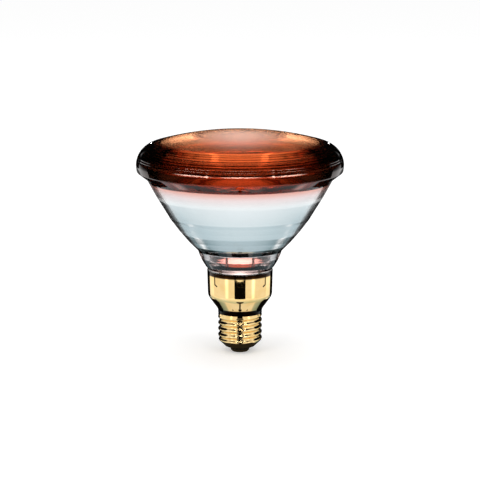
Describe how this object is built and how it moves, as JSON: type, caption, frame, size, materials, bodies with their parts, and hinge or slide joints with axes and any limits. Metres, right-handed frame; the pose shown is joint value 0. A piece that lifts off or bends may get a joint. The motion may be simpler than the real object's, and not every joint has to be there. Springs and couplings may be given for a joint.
{
  "type": "infrared heat lamp bulb",
  "caption": "Reflector bulb for radiant heat: deep red pressed-glass lens on a clear stepped bowl with a mirrored inside, held in a skirted brass screw cap.",
  "frame": {"origin": "centre of the contact's flat face, the lowest point of the cap", "axes": "+Z along the lamp's axis from the cap to the lens; -Y is the side that the picture shows"},
  "size_m": [0.122, 0.122, 0.1324],
  "materials": {
    "ruby_glass": "pressed, translucent red",
    "clear_glass": "pressed, clear; the bowl's inside is aluminised",
    "ferrule_metal": "drawn nickel-iron",
    "nickel_wire": "drawn wire",
    "tungsten": "coiled wire",
    "cap_brass": "drawn and polished",
    "black_glass": "poured, opaque black",
    "contact_brass": "stamped",
    "solder": "dull tin solder"
  },
  "bodies": {
    "root": {"front_lens": "ruby_glass", "reflector_bowl": "clear_glass", "exhaust_tip": "clear_glass", "ferrule_left": "ferrule_metal", "ferrule_right": "ferrule_metal", "lead_post_left": "nickel_wire", "lead_post_right": "nickel_wire", "glass_bridge": "clear_glass", "filament_support_1": "nickel_wire", "filament_support_2": "nickel_wire", "filament_support_3": "nickel_wire", "filament": "tungsten", "cap_skirt": "cap_brass", "screw_shell": "cap_brass", "insulator": "black_glass", "centre_contact": "contact_brass", "contact_solder": "solder", "contact_lead": "nickel_wire", "shell_lead": "nickel_wire", "shell_solder": "solder"}
  },
  "joints": []
}
